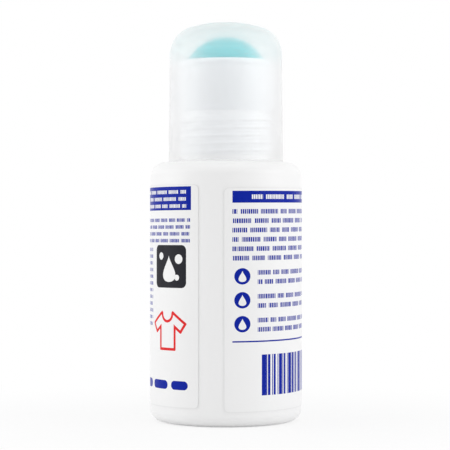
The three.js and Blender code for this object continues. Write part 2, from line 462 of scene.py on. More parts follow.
def frosted_plastic(rgb, lit_crown_rgb):
    """Milky see-through polypropylene.

    Each skin of the wall passes part of the light straight on, spreads part of it a little and
    scatters the rest as haze, which thickens where the wall is seen edge on. Haze scatters forwards,
    so lamp light still gets through nearly all of it.
    """
    thin_haze = 0.13
    edge_haze = 0.65
    lamp_pass = 0.95
    blur_share = 0.2
    glow_share = 0.4
    constants = {"IOR": 1.46, "Specular IOR Level": 0.4}
    material, board, shader, place = start_material("cap_frosted", constants)
    cloud = board.noise(place, scale=60.0, detail=3.0)
    frost = board.noise(place, scale=3200.0)
    _, _, height = board.split(place)
    # Painted highlight: the crown is painted lighter and warmer than the side, for light from above and
    # against the teal light off the ball
    crown = height.eased(HOUSING_HIGH.z, CAP_HIGH.z - 3 * MM)
    looks = {
        "Base Color": board.blend(crown * 0.75 + cloud * 0.25, opaque(rgb), opaque(lit_crown_rgb)),
        "Roughness": 0.36 + (cloud - 0.5) * 0.06 + (frost - 0.5) * 0.08,
        "Normal": board.bump(frost, strength=0.06, distance=0.03 * MM),
    }
    board.feed(shader, looks)
    edge_on = board.wire("ShaderNodeLayerWeight", {}, {"Blend": 0.5}, 1)
    from_lamp = Wire(board, board.node("ShaderNodeLightPath").outputs["Is Shadow Ray"])
    haze = (thin_haze + (cloud - 0.5) * 0.03 + edge_on * edge_haze) * (1 - from_lamp * lamp_pass)
    glow = board.node("ShaderNodeBsdfTranslucent", {}, {"Color": opaque(rgb)})
    clear = board.node("ShaderNodeBsdfTransparent", {}, {"Color": (0.995, 0.998, 1.0, 1.0)})
    blur = board.node("ShaderNodeBsdfRefraction", {}, {"Color": WHITE, "Roughness": 0.5, "IOR": 1.12})
    milk = board.mix(glow_share, shader, glow)
    see = board.mix((1 - from_lamp) * blur_share, clear, blur)
    wall = board.mix(haze, see, milk)
    board.plug(board.tree.nodes["Material Output"].inputs["Surface"], wall.outputs[0])
    return material


def clear_liquid(rgb):
    """Clear liquid, a shade deeper towards the foot, with a few settled streaks."""
    constants = {"IOR": 1.36, "Transmission Weight": 1.0}
    material, board, shader, place = start_material("liquid_clear", constants)
    _, _, height = board.split(place)
    streaks = board.noise(place, scale=120.0)
    depth = height.eased(0.0, LIQUID_HIGH.z) * 0.8 + streaks * 0.2
    looks = {
        "Base Color": board.shades(depth, rgb, dim=0.96, bright=1.02),
        "Roughness": 0.02 + streaks * 0.02,
    }
    board.feed(shader, looks)
    return material


# Print on the label, in millimetres along the label from its near end and up from the table
Box = namedtuple("Box", "left right low high")
TextLines = namedtuple("TextLines", "left right top count pitch tall word")
Patch = namedtuple("Patch", "x y half_width half_height")

BLUE_BARS = (
    Box(2.3, 42.5, 60.4, 63.6),
    Box(86.0, 122.9, 57.6, 64.0),
    Box(2.3, 42.5, 23.0, 23.4),
)
FRONT_FIELD = Box(47.5, 79.5, 37.0, 60.0)
FRONT_CORNER = 3.0
FRONT_PILLS = (Box(51.5, 73.5, 52.0, 55.2), Box(51.5, 66.5, 46.8, 50.0))
SIDE_PILLS = (Box(101.0, 106.2, 9.1, 11.5), Box(107.6, 114.8, 9.1, 11.5), Box(116.2, 121.9, 9.1, 11.5))

BLUE_LINES = (
    TextLines(2.3, 42.5, 58.7, 6, 2.5, 1.25, 5.2),
    TextLines(9.3, 42.5, 42.3, 2, 2.5, 1.25, 4.4),
    TextLines(9.3, 42.5, 35.9, 2, 2.5, 1.25, 4.9),
    TextLines(9.3, 42.5, 29.5, 2, 2.5, 1.25, 4.1),
    TextLines(86.0, 122.6, 55.4, 4, 1.85, 0.95, 3.6),
    TextLines(86.0, 106.5, 47.4, 12, 1.85, 0.95, 3.4),
    TextLines(51.0, 76.0, 9.4, 2, 2.2, 1.0, 4.0),
)
WHITE_LINES = (
    TextLines(7.5, 37.5, 62.6, 1, 2.0, 1.2, 6.0),
    TextLines(90.0, 121.4, 63.0, 3, 1.9, 0.95, 4.6),
    TextLines(51.5, 75.5, 43.4, 2, 2.2, 1.1, 4.2),
)
STEP_DOTS = ((5.0, 40.7), (5.0, 34.3), (5.0, 27.9))
STEP_DOT_RADIUS = 2.2
STEP_DROP_HALF_HEIGHT = 1.5
STRIPES = Box(10.5, 38.5, 8.6, 19.6)
STRIPE_PITCH = 1.9
STRIPE_BEAT = 2.4
STRIPE_SWING = 0.22
FINE_STRIPE_SHIFT = 0.55
FINE_STRIPE_WIDTH = 0.3
TILE = Box(109.2, 121.4, 36.6, 48.2)
TILE_CORNER = 1.5
TILE_BUBBLES = ((111.9, 45.2, 1.0), (118.9, 44.4, 1.3), (118.3, 39.4, 0.8))
GARMENT = (114.6, 25.0)
GARMENT_LINE = 0.75
GARMENT_ROUNDING = 0.3
GARMENT_BODY = Patch(0.0, -0.8, 3.3, 4.6)
GARMENT_SLEEVE = Patch(3.6, 2.3, 3.0, 1.75)
SLEEVE_LEAN = math.radians(35)
COLLAR_HEIGHT = 4.6
COLLAR_RADIUS = 1.7
FRONT_BUBBLES = ((63.0, 22.6, 9.4), (73.6, 15.6, 3.6), (52.6, 16.2, 2.6), (75.2, 27.4, 1.9))
DROPS = ((115.3, 41.8, 3.6), (63.0, 22.0, 6.0))
DROP_FULLNESS = 1.15
# Width of the line of painted shade along the film's cut rim
SHADED_RIM_WIDTH = 0.22

# Dashes that stand for words, and the ticks that hatch them: shift per row, unevenness and gap
WORD_SHIFT, WORD_SPREAD, WORD_GAP = 17.3, 0.75, 0.08
TICK_SHIFT, TICK_SPREAD, TICK_GAP = 5.7, 0.7, 0.14
TICK_PITCH = 0.45


def in_box(u, v, box):
    """Mask of a plain rectangle."""
    across = (u > box.left) & (u < box.right)
    return across & (v > box.low) & (v < box.high)


def box_distance(x, y, half_width, half_height, rounding):
    """Signed distance from a rounded rectangle round the origin."""
    over_x = abs(x) - (half_width - rounding)
    over_y = abs(y) - (half_height - rounding)
    out_x = over_x | 0.0
    out_y = over_y | 0.0
    outside = (out_x * out_x + out_y * out_y).math("SQRT")
    inside = (over_x | over_y).math("MINIMUM", 0.0)
    return outside + inside - rounding


def in_rounded_box(u, v, box, rounding):
    """Mask of a rectangle with rounded corners."""
    x = u - (box.left + box.right) / 2
    y = v - (box.low + box.high) / 2
    return box_distance(x, y, (box.right - box.left) / 2, (box.high - box.low) / 2, rounding) < 0.0


def in_pill(u, v, box):
    """Mask of a bar with round ends."""
    return in_rounded_box(u, v, box, (box.high - box.low) / 2)


def in_disc(u, v, centre_u, centre_v, radius):
    """Mask of a disc."""
    x = u - centre_u
    y = v - centre_v
    return (x * x + y * y) < radius * radius


def in_drop(u, v, centre_u, centre_v, half_height):
    """Mask of a drop: round below, drawn to a tip above."""
    x = (u - centre_u) / half_height
    y = (v - centre_v) / half_height
    taper = (1 - y) * 0.5
    return (x * x - (1 - y * y) * taper * taper * DROP_FULLNESS) < 0.0


def on_garment(u, v):
    """Mask of the outline of a short-sleeved shirt."""
    x = abs(u - GARMENT[0])
    y = v - GARMENT[1]
    _, low, *body_size = GARMENT_BODY
    body = box_distance(x, y - low, *body_size, GARMENT_ROUNDING)
    arm_x, arm_y, *sleeve_size = GARMENT_SLEEVE
    out = x - arm_x
    up = y - arm_y
    along = out * math.cos(SLEEVE_LEAN) - up * math.sin(SLEEVE_LEAN)
    across = out * math.sin(SLEEVE_LEAN) + up * math.cos(SLEEVE_LEAN)
    sleeve = box_distance(along, across, *sleeve_size, GARMENT_ROUNDING)
    over_collar = y - COLLAR_HEIGHT
    collar = COLLAR_RADIUS - (x * x + over_collar * over_collar).math("SQRT")
    edge = body.math("MINIMUM", sleeve) | collar
    return (edge < 0.0) & (edge > -GARMENT_LINE)


def gap_distance(place, spread):
    """Distance from the gaps between uneven lengths along a line."""
    settings = {"voronoi_dimensions": "1D", "feature": "DISTANCE_TO_EDGE"}
    inputs = {"W": place, "Scale": 1.0, "Randomness": spread}
    return place.board.wire("ShaderNodeTexVoronoi", settings, inputs)


def text_lines(u, v, lines):
    """Mask of flush-left lines of word-long dashes, each hatched by upright ticks of one height."""
    row_place = (lines.top - v) / lines.pitch
    row = row_place.math("FLOOR")
    down = (row_place - row) * (lines.pitch / lines.tall)
    in_block = (u > lines.left) & (u < lines.right) & (row > -0.5) & (row < lines.count - 0.5)
    first_word = u < lines.left + lines.tall
    words = gap_distance(u / lines.word + row * WORD_SHIFT, WORD_SPREAD)
    ticks = gap_distance(u / (lines.tall * TICK_PITCH) + row * TICK_SHIFT, TICK_SPREAD)
    return in_block & (down < 1.0) & (first_word | (words > WORD_GAP)) & (ticks > TICK_GAP)


def stripe_block(u, v):
    """Mask of upright stripes whose widths swing with an even beat, and of finer ones among them."""
    place = (u - STRIPES.left) / STRIPE_PITCH
    width = (place * STRIPE_BEAT).math("SINE") * STRIPE_SWING + 0.5
    wide = place.math("FRACT") < width
    fine = (place * 2.0 + FINE_STRIPE_SHIFT).math("FRACT") < FINE_STRIPE_WIDTH
    return in_box(u, v, STRIPES) & (wide | fine)


def film_rim_shade(u, v, sizes, along_label):
    """Mask of the film's cut rim, where a thin line of shade is painted along the film's edge."""
    half_height = (sizes.top - sizes.bottom) / 2 / MM
    x = u - along_label / 2 / MM
    y = v - (sizes.top + sizes.bottom) / 2 / MM
    return box_distance(x, y, along_label / 2 / MM, half_height, sizes.corner / MM) > -SHADED_RIM_WIDTH


def any_of(masks):
    """Mask of the places that any of the masks covers."""
    whole = masks[0]
    for mask in masks[1:]:
        whole = whole | mask
    return whole


def blue_print(u, v):
    """Mask of the blue ink."""
    bars = [in_box(u, v, box) for box in BLUE_BARS]
    lines = [text_lines(u, v, text) for text in BLUE_LINES]
    dots = [in_disc(u, v, *dot, STEP_DOT_RADIUS) for dot in STEP_DOTS]
    pills = [in_pill(u, v, box) for box in SIDE_PILLS]
    field = in_rounded_box(u, v, FRONT_FIELD, FRONT_CORNER)
    return any_of([*bars, *lines, *dots, *pills, field, stripe_block(u, v)])


def white_print(u, v):
    """Mask of what is left white within the inks."""
    bubbles = [in_disc(u, v, *bubble) for bubble in TILE_BUBBLES]
    drops = [in_drop(u, v, *drop) for drop in DROPS]
    dot_drops = [in_drop(u, v, *dot, STEP_DROP_HALF_HEIGHT) for dot in STEP_DOTS]
    lines = [text_lines(u, v, text) for text in WHITE_LINES]
    pills = [in_pill(u, v, box) for box in FRONT_PILLS]
    return any_of([*bubbles, *drops, *dot_drops, *lines, *pills])


def printed_film(finish, sizes, along_label):
    """White film printed with bars, word-like dashes, stripes and plain laundry motifs."""
    constants = {"IOR": 1.5, "Specular IOR Level": 0.06, "Coat Roughness": 0.12}
    material, board, shader, place = start_material("label_film", constants)
    sheet = board.node("ShaderNodeUVMap", {"uv_map": LABEL_UV}).outputs["UV"]
    along, up, _ = board.split(sheet)
    u = along / MM
    v = up / MM
    film_tone = board.noise(place, scale=50.0, detail=3.0)
    ink_tone = board.noise(place, scale=700.0)
    ripple = board.noise(place, scale=180.0)
    rim = film_rim_shade(u, v, sizes, along_label)
    film = board.shades(film_tone, finish.film, dim=0.985, bright=1.01)
    # A thin darker line painted along the cut rim: painted shade at the film's edge
    film = board.blend(rim, film, opaque(finish.film, 0.94))
    inks = (
        (any_of([in_disc(u, v, *bubble) for bubble in FRONT_BUBBLES]), finish.ink_teal),
        (blue_print(u, v), finish.ink_blue),
        (in_rounded_box(u, v, TILE, TILE_CORNER), finish.ink_dark),
        (on_garment(u, v), finish.ink_red),
    )
    printed = film
    for mask, rgb in inks:
        printed = board.blend(mask, printed, board.shades(ink_tone, rgb, dim=0.92, bright=1.08))
    white = white_print(u, v)
    inked = any_of([mask for mask, _ in inks]) & (1 - white)
    relief = ripple * 0.5 + ink_tone * 0.1 + inked * 0.04
    looks = {
        "Base Color": board.blend(white, printed, film),
        "Roughness": 0.36 + (ripple - 0.5) * 0.08 - inked * 0.08,
        "Coat Weight": inked * 0.03 + 0.02,
        "Normal": board.bump(relief, strength=0.08, distance=0.04 * MM),
    }
    board.feed(shader, looks)
    return material


def arc(r, z, radius, start, end, up_radius=None):
    """Profile points of an arc round (r, z), in degrees. A second radius makes it an ellipse."""
    up = radius if up_radius is None else up_radius
    steps = max(2, math.ceil(abs(end - start) / ARC_STEP_DEGREES))
    angles = [math.radians(start + (end - start) * i / steps) for i in range(steps + 1)]
    return [(r + radius * math.cos(a), z + up * math.sin(a)) for a in angles]


def threaded_wall(low, high):
    """Profile points of a wall between two others, close enough together to carry a thread."""
    steps = math.ceil((high[1] - low[1]) / THREAD_ROW)
    shares = [i / steps for i in range(1, steps)]
    return [(low[0] + (high[0] - low[0]) * s, low[1] + (high[1] - low[1]) * s) for s in shares]


def turned_mesh(profile):
    """A closed mesh turned about Z from (radius, height) points that meet the axis or form a ring."""
    shape = bmesh.new()
    angles = [TURN * i / SEGMENTS for i in range(SEGMENTS)]
    directions = [(math.cos(a), math.sin(a)) for a in angles]
    rings = []
    last = None
    for point in profile:
        if last and math.dist(point, last) < SAME_POINT:
            continue
        last = point
        radius, height = point
        if radius < ON_AXIS:
            rings.append([shape.verts.new((0, 0, height))])
        else:
            rings.append([shape.verts.new((radius * x, radius * y, height)) for x, y in directions])
    for lower, upper in zip(rings, rings[1:]):
        join_rings(shape, lower, upper)
    if len(rings[0]) > 1:
        join_rings(shape, rings[-1], rings[0])
    return finished_mesh(shape)


def join_rings(shape, lower, upper):
    """Faces between two rings of a turned mesh. A ring on the axis has a single point."""
    for i in range(SEGMENTS):
        j = (i + 1) % SEGMENTS
        below = [lower[k % len(lower)] for k in (i, j)]
        above = [upper[k % len(upper)] for k in (j, i)]
        shape.faces.new(list(dict.fromkeys([*below, *above])))


def finished_mesh(shape):
    """A mesh from a closed bmesh, with its faces pointing out."""
    bmesh.ops.recalc_face_normals(shape, faces=shape.faces)
    mesh = bpy.data.meshes.new("shape")
    shape.to_mesh(mesh)
    shape.free()
    return mesh


def foot_profile(sizes, depth):
    """The bottle's base and heel at a depth under its outer skin, from the axis to the side wall."""
    foot_outer = sizes.diameter / 2 - sizes.heel_radius
    foot_inner = foot_outer - sizes.foot_width
    base_radius = (foot_inner**2 + sizes.push_up**2) / (2 * sizes.push_up)
    base_sweep = math.degrees(math.asin(foot_inner / base_radius))
    base = arc(0, sizes.push_up - base_radius + depth, base_radius, 90, 90 - base_sweep)
    base[0] = (0.0, base[0][1])
    return base + arc(foot_outer, sizes.heel_radius, sizes.heel_radius - depth, -90, 0)


def shoulder_profile(sizes, depth):
    """The bottle's rounded shoulder at a depth under its outer skin, from the side wall inwards."""
    across = sizes.shoulder_width - depth
    down = sizes.shoulder_drop - depth
    r = sizes.diameter / 2 - sizes.shoulder_width
    return arc(r, sizes.shoulder_height - sizes.shoulder_drop, across, 0, 90, down)


def bottle_profile(sizes):
    """Outer skin from the base to the mouth, then the inner skin back to the base."""
    bore = sizes.neck_radius - sizes.neck_wall
    ceiling = sizes.shoulder_height - sizes.wall
    fillet = sizes.neck_fillet
    lip = sizes.lip_radius
    foot = arc(sizes.neck_radius + fillet, sizes.shoulder_height + fillet, fillet, 270, 180)
    mouth = arc(sizes.neck_radius - lip, sizes.neck_top - lip, lip, 0, 90)
    groove = arc(bore, sizes.groove_height, sizes.groove_depth, 90, -90)
    return [
        *foot_profile(sizes, 0),
        *shoulder_profile(sizes, 0),
        *foot,
        *threaded_wall(foot[-1], mouth[0]),
        *mouth,
        (bore, sizes.neck_top),
        *groove,
        *arc(bore + fillet, ceiling + fillet, fillet, 180, 270),
        *reversed(shoulder_profile(sizes, sizes.wall)),
        *reversed(foot_profile(sizes, sizes.wall)),
    ]


def liquid_profile(sizes):
    """The liquid from the base up to its surface, which dips a little away from the wall."""
    depth = sizes.wall + sizes.liquid_gap
    edge = sizes.diameter / 2 - depth
    level = sizes.liquid_level
    curl = 4 * sizes.meniscus
    surface = arc(edge - curl, level, curl, 0, -90, sizes.meniscus)
    return [*foot_profile(sizes, depth), *surface, (0.0, level - sizes.meniscus)]


def degrees_below(r, radius):
    """Angle at which the lower half of a circle round the axis is as far out as r."""
    return -math.degrees(math.acos(r / radius))


def housing_profile(sizes, ball_height, groove_height):
    """The housing from under its floor, down and up round the plug, up the cup and into the socket."""
    socket = sizes.ball_diameter / 2 + sizes.clearance
    under = socket + sizes.cup_floor
    feed = sizes.feed_diameter / 2
    plug_bore = sizes.plug_radius - sizes.plug_wall
    plug_foot = HOUSING_LOW.z
    rim = HOUSING_HIGH.z
    band = rim - sizes.rim_band
    rim_angle = math.degrees(math.asin((rim - ball_height) / socket))
    return [
        *arc(0, ball_height, under, degrees_below(feed, under), degrees_below(plug_bore, under)),
        (plug_bore, plug_foot),
        (sizes.plug_radius - sizes.plug_chamfer, plug_foot),
        (sizes.plug_radius, plug_foot + sizes.plug_chamfer),
        *arc(sizes.plug_radius, groove_height, sizes.bead_depth, -90, 90),
        (sizes.plug_radius, sizes.flange_height),
        (sizes.cup_radius - sizes.flange_inset, sizes.flange_height),
        (sizes.cup_radius, sizes.flange_height + sizes.flange_lead),
        (sizes.cup_radius, band - sizes.rim_groove),
        (sizes.cup_radius - sizes.rim_groove, band),
        (sizes.cup_radius, band + sizes.rim_groove),
        *arc(sizes.cup_radius - sizes.rim_radius, rim - sizes.rim_radius, sizes.rim_radius, 0, 90),
        *arc(0, ball_height, socket, rim_angle, degrees_below(feed, socket)),
    ]


def cap_skin(sizes, depth):
    """The cap's skin at a depth under its outer face, from its foot to the crown on the axis."""
    crown_height = sizes.top - sizes.crown_radius
    corner_r = sizes.foot_radius - sizes.draft - sizes.corner_radius
    corner_rise = math.sqrt((sizes.crown_radius - sizes.corner_radius) ** 2 - corner_r**2)
    blend = math.degrees(math.atan2(corner_rise, corner_r))
    crown = arc(0, crown_height, sizes.crown_radius - depth, blend, 90)
    crown[-1] = (0.0, crown[-1][1])
    return [
        (sizes.foot_radius - depth, sizes.foot_height),
        *arc(corner_r, crown_height + corner_rise, sizes.corner_radius - depth, 0, blend),
        *crown,
    ]


def cap_profile(sizes, thread_top):
    """The cap from the crown down its inside, round its foot and up its outside."""
    inner = cap_skin(sizes, sizes.wall)
    outer = cap_skin(sizes, 0)
    rounding = sizes.foot_rounding
    share = (thread_top - sizes.foot_height) / (inner[1][1] - sizes.foot_height)
    wall_top = (inner[0][0] + (inner[1][0] - inner[0][0]) * share, thread_top)
    foot_height = sizes.foot_height + rounding
    wall_foot = (inner[0][0], foot_height)
    return [
        *reversed(inner[1:]),
        wall_top,
        *reversed(threaded_wall(wall_foot, wall_top)),
        *arc(inner[0][0] + rounding, foot_height, rounding, 180, 270),
        *arc(outer[0][0] - rounding, foot_height, rounding, 270, 360),
        *outer[1:],
    ]


def geometry_board(name, values):
    """A Geometry Nodes board with a group input for each value, and those inputs by name."""
    tree = bpy.data.node_groups.new(name, "GeometryNodeTree")
    tree.interface.new_socket(name="Geometry", in_out="INPUT", socket_type="NodeSocketGeometry")
    for label, value in values.items():
        kind = SOCKET_KINDS[type(value)]
        tree.interface.new_socket(name=label, in_out="INPUT", socket_type=kind)
    tree.interface.new_socket(name="Geometry", in_out="OUTPUT", socket_type="NodeSocketGeometry")
    board = Board(tree)
    given = board.node("NodeGroupInput")
    return board, {socket.name: Wire(board, socket) for socket in given.outputs if socket.name}


def close_board(board, geometry, material):
    """Ends a Geometry Nodes board in plain, painted geometry."""
    plain = board.node("GeometryNodeRealizeInstances", {}, {"Geometry": geometry})
    inputs = {"Geometry": plain.outputs[0], "Material": material}
    painted = board.node("GeometryNodeSetMaterial", {}, inputs)
    board.node("NodeGroupOutput", {}, {"Geometry": painted.outputs[0]})
    return board.tree


def thread_tree(values):
    """Raises a right-hand ridge from a round wall, towards the radius of its crest."""
    board, given = geometry_board("thread_ridge", values)
    x, y, z = board.split(board.node("GeometryNodeInputPosition").outputs[0])
    radius = (x * x + y * y).math("SQRT")
    part_turn = board.sum("ARCTAN2", y, x) / TURN + 0.5
    rise = (z - given["Start"]) / given["Pitch"]
    turn = (rise - part_turn).math("ROUND") + part_turn
    off_centre = abs(rise - turn) * given["Pitch"]
    flank = (given["Root Width"] - given["Crest Width"]) * 0.5
    height = ((given["Root Width"] * 0.5 - off_centre) / flank).clamped()
    fade_in = (turn / given["Run Out"]).clamped()
    fade_out = ((given["Turns"] - turn) / given["Run Out"]).clamped()
    on_wall = abs(radius - given["Wall Radius"]) < given["Wall Reach"]
    lift = height * fade_in * fade_out * on_wall
    share = lift * (given["Crest Radius"] / radius - 1)
    offset = board.join(x * share, y * share, 0.0)
    moved = {"Geometry": given["Geometry"], "Offset": offset}
    raised = board.node("GeometryNodeSetPosition", {}, moved)
    return close_board(board, raised.outputs[0], given["Material"])


def slot_tree(values):
    """Cuts a ring of slots outwards from a hole on the axis."""
    board, given = geometry_board("feed_slots", values)
    size = board.join(given["Length"], given["Width"], given["Depth"])
    bar = board.node("GeometryNodeMeshCube", {}, {"Size": size})
    shift = board.join(given["Start"] + given["Length"] * 0.5, 0.0, given["Height"])
    moved = {"Geometry": bar.outputs["Mesh"], "Translation": shift}
    placed = board.node("GeometryNodeTransform", {}, moved)
    points = board.node("GeometryNodePoints", {}, {"Count": given["Count"]})
    index = board.wire("GeometryNodeInputIndex")
    turn = board.join(0.0, 0.0, index / given["Count"] * TURN)
    ring_inputs = {"Points": points.outputs[0], "Instance": placed.outputs[0], "Rotation": turn}
    ring = board.node("GeometryNodeInstanceOnPoints", {}, ring_inputs)
    bars = board.node("GeometryNodeRealizeInstances", {}, {"Geometry": ring.outputs[0]})
    settings = {"operation": "DIFFERENCE", "solver": "EXACT"}
    meshes = {"Mesh 1": given["Geometry"], "Mesh 2": bars.outputs[0]}
    cut = board.node("GeometryNodeMeshBoolean", settings, meshes)
    return close_board(board, cut.outputs[0], given["Material"])


def through_tree(piece, tree, values):
    """Runs a piece through a Geometry Nodes tree and keeps the result as its plain mesh."""
    modifier = piece.modifiers.new(tree.name, "NODES")
    modifier.node_group = tree
    for item in tree.interface.items_tree:
        if item.in_out == "INPUT" and item.name in values:
            modifier[item.identifier] = values[item.name]
    drawn = piece.evaluated_get(bpy.context.evaluated_depsgraph_get())
    mesh = bpy.data.meshes.new_from_object(drawn)
    piece.modifiers.remove(modifier)
    piece.data = mesh


def new_object(name, mesh, material):
    """An object at the origin that holds the mesh."""
    made = bpy.data.objects.new(name, mesh)
    mesh.materials.append(material)
    bpy.context.scene.collection.objects.link(made)
    return made


def dress(piece, body, node):
    """Smooths a piece and sets it on its CAD body in place of its CAD node."""
    piece.data.name = piece.name
    piece.data.shade_smooth()
    piece.data.set_sharp_from_angle(angle=SHARP_ANGLE)
    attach(piece, body)
    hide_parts(node)


def raise_thread(piece, sizes, wall_radius, wall_reach, start, turns, crest):
    """Raises one of the two screw threads from a piece's wall."""
    values = {
        "Wall Radius": wall_radius,
        "Wall Reach": wall_reach,
        "Start": start,
        "Pitch": sizes.pitch,
        "Root Width": sizes.root_width,
        "Crest Width": sizes.crest_width,
        "Crest Radius": crest,
        "Turns": turns,
        "Run Out": sizes.run_out,
        "Material": piece.data.materials[0],
    }
    through_tree(piece, thread_tree(values), values)


class BuildStep:
    """What the building operators share: each builds its piece from the scene's settings."""

    def execute(self, context):
        self.build(context.scene.stain_roller)
        return {"FINISHED"}


class STAINROLLER_OT_bottle(BuildStep, Operator):
    """Blow-moulded bottle with its screw thread"""

    bl_idname = "stain_roller.bottle"
    bl_label = "Build Bottle"

    def build(self, settings):
        sizes = settings.bottle
        thread = settings.thread
        finish = settings.finish
        # The neck's colour is a painted lift against the shade inside the cap
        colours = (finish.bottle, finish.neck, sizes.shoulder_height)
        material = moulded_plastic("bottle_white", *colours, roughness=0.4, seam=sizes.parting_line)
        bottle = new_object("bottle_shell", turned_mesh(bottle_profile(sizes)), material)
        ridge = (thread.neck_start, thread.neck_turns, thread.neck_crest)
        raise_thread(bottle, thread, sizes.neck_radius, NECK_REACH, *ridge)
        dress(bottle, "bottle_body", "bottle")


class STAINROLLER_OT_label(BuildStep, Operator):
    """Film label wrapped round the side wall"""

    bl_idname = "stain_roller.label"
    bl_label = "Build Label"

    def build(self, settings):
        sizes = settings.label
        wall = settings.bottle.diameter / 2
        along = TURN * wall - sizes.seam
        mesh = self.wrapped_sheet(sizes, wall, along)
        label = new_object("label_film", mesh, printed_film(settings.finish, sizes, along))
        dress(label, "bottle_body", "wrap_label")

    def stations(self, sizes, along):
        """Places along the label, closer together in its rounded corners."""
        angles = [math.radians(a) for a in range(0, 91, LABEL_CORNER_STEP_DEGREES)]
        near = [sizes.corner * (1 - math.cos(a)) for a in angles]
        straight = along - 2 * sizes.corner
        middle = [sizes.corner + straight * i / LABEL_STATIONS for i in range(1, LABEL_STATIONS)]
        return [*near, *middle, *(along - u for u in reversed(near))]

    def wrapped_sheet(self, sizes, wall, along):
        """A thin closed strip round the bottle, with the flat sheet's places as its UV map."""
        shape = bmesh.new()
        sheet = shape.loops.layers.uv.new(LABEL_UV)
        flat = {}
        rows = []
        outer = sizes.outer_radius
        inner = outer - sizes.thickness
        for u in self.stations(sizes, along):
            into_corner = max(0.0, sizes.corner - min(u, along - u))
            cut = sizes.corner - math.sqrt(max(0.0, sizes.corner**2 - into_corner**2))
            lift = sizes.skew * u / along
            bearing = (sizes.seam / 2 + u) / wall
            low = sizes.bottom + cut
            high = sizes.top - cut
            row = []
            for radius, v in ((inner, low), (inner, high), (outer, high), (outer, low)):
                place = (radius * math.sin(bearing), -radius * math.cos(bearing), v + lift)
                row.append(shape.verts.new(place))
                flat[row[-1]] = (u, v)
            rows.append(row)
        for near, far in zip(rows, rows[1:]):
            for k in range(len(near)):
                after = (k + 1) % len(near)
                shape.faces.new((near[k], near[after], far[after], far[k]))
        shape.faces.new(rows[0])
        shape.faces.new(rows[-1])
        for face in shape.faces:
            for loop in face.loops:
                loop[sheet].uv = flat[loop.vert]
        return finished_mesh(shape)


class STAINROLLER_OT_liquid(BuildStep, Operator):
    """Liquid in the bottle"""

    bl_idname = "stain_roller.liquid"
    bl_label = "Build Liquid"

    def build(self, settings):
        mesh = turned_mesh(liquid_profile(settings.bottle))
        liquid = new_object("liquid_body", mesh, clear_liquid(settings.finish.liquid))
        dress(liquid, "bottle_body", "liquid_fill")


class STAINROLLER_OT_housing(BuildStep, Operator):
    """Housing that holds the ball, with its feed slots"""

    bl_idname = "stain_roller.housing"
    bl_label = "Build Housing"

    def build(self, settings):
        sizes = settings.roller
        ball_height = (BALL_LOW.z + BALL_HIGH.z) / 2
        colours = (settings.finish.housing, settings.finish.housing, HOUSING_LOW.z)
        material = moulded_plastic("housing_white", *colours, roughness=0.38, seam=0.0)
        profile = housing_profile(sizes, ball_height, settings.bottle.groove_height)
        housing = new_object("housing_cup", turned_mesh(profile), material)
        feed = sizes.feed_diameter / 2
        socket = sizes.ball_diameter / 2 + sizes.clearance
        values = {
            "Count": sizes.slot_count,
            "Start": feed / 2,
            "Length": feed / 2 + sizes.slot_reach,
            "Width": sizes.slot_width,
            "Depth": 4 * sizes.cup_floor,
            "Height": ball_height - math.sqrt(socket**2 - feed**2),
            "Material": material,
        }
        through_tree(housing, slot_tree(values), values)
        dress(housing, "bottle_body", "ball_housing")


class STAINROLLER_OT_ball(BuildStep, Operator):
    """Ball that rolls in the housing"""

    bl_idname = "stain_roller.ball"
    bl_label = "Build Ball"

    def build(self, settings):
        mesh = self.welded_ball(settings.roller)
        ball = new_object("ball_teal", mesh, teal_polish(settings.finish.ball))
        dress(ball, "ball_body", "roller_ball")

    def welded_ball(self, sizes):
        """A ball of even square faces, with a fine weld line where its two halves meet."""
        centre = (BALL_LOW + BALL_HIGH) / 2
        radius = sizes.ball_diameter / 2
        shape = bmesh.new()
        bmesh.ops.create_cube(shape, size=2)
        bmesh.ops.subdivide_edges(shape, edges=shape.edges, cuts=BALL_CUTS, use_grid_fill=True)
        for vert in shape.verts:
            away = vert.co.normalized()
            from_weld = abs(away.x) * radius
            weld = sizes.ball_weld * max(0.0, 1 - from_weld / sizes.weld_width)
            vert.co = centre + away * (radius - weld)
        return finished_mesh(shape)


class STAINROLLER_OT_cap(BuildStep, Operator):
    """Frosted cap with its inner thread"""

    bl_idname = "stain_roller.cap"
    bl_label = "Build Cap"

    def build(self, settings):
        sizes = settings.cap
        thread = settings.thread
        material = frosted_plastic(settings.finish.cap, settings.finish.cap_crown_lit)
        thread_top = thread.cap_start + (thread.cap_turns + 1) * thread.pitch
        cap = new_object("cap_frosted", turned_mesh(cap_profile(sizes, thread_top)), material)
        bore = sizes.foot_radius - sizes.wall - sizes.draft / 2
        ridge = (thread.cap_start, thread.cap_turns, thread.cap_crest)
        raise_thread(cap, thread, bore, sizes.draft, *ridge)
        dress(cap, "cap_body", "screw_cap")


